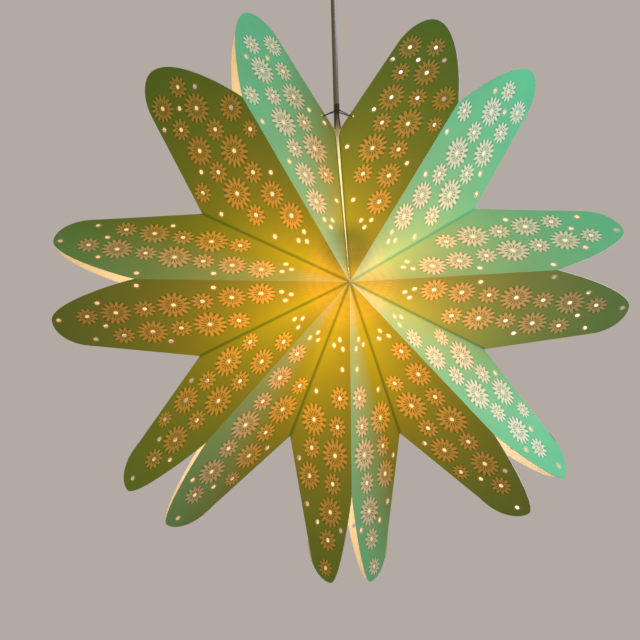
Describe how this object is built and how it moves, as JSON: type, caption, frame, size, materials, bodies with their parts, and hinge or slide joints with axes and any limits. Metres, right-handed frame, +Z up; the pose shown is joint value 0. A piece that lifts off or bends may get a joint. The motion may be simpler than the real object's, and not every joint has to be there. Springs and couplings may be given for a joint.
{
  "type": "hanging paper star",
  "caption": "Folded paper star lantern with split rounded points, a lamp inside and a cable up to a ceiling cup.",
  "frame": {"origin": "middle of the mounting strap's top face, in the ceiling plane, straight above the hub", "axes": "+Z up, the star lies in the XZ plane and its front faces -Y"},
  "size_m": [0.5956, 0.1838, 0.6837],
  "materials": {
    "printed_paper": "matte print",
    "opal_glass": "frosted",
    "brass": "drawn",
    "ceramic_insert": "unglazed",
    "moulded_plastic": "satin",
    "cable_sheath": "satin",
    "twine": "twisted",
    "zinc_steel": "zinc plated"
  },
  "bodies": {
    "root": {"star_point_1": "printed_paper", "star_point_2": "printed_paper", "star_point_3": "printed_paper", "star_point_4": "printed_paper", "star_point_5": "printed_paper", "star_point_6": "printed_paper", "star_point_7": "printed_paper", "bulb": "opal_glass", "screw_shell": "brass", "contact_insert": "ceramic_insert", "lampholder_skirt": "moulded_plastic", "lampholder_cap": "moulded_plastic", "strain_relief": "moulded_plastic", "cable": "cable_sheath", "tie_string": "twine", "cup_cord_grip": "moulded_plastic", "ceiling_cup": "moulded_plastic", "threaded_nipple": "zinc_steel", "lock_nut": "zinc_steel", "mounting_strap": "zinc_steel"}
  },
  "joints": []
}
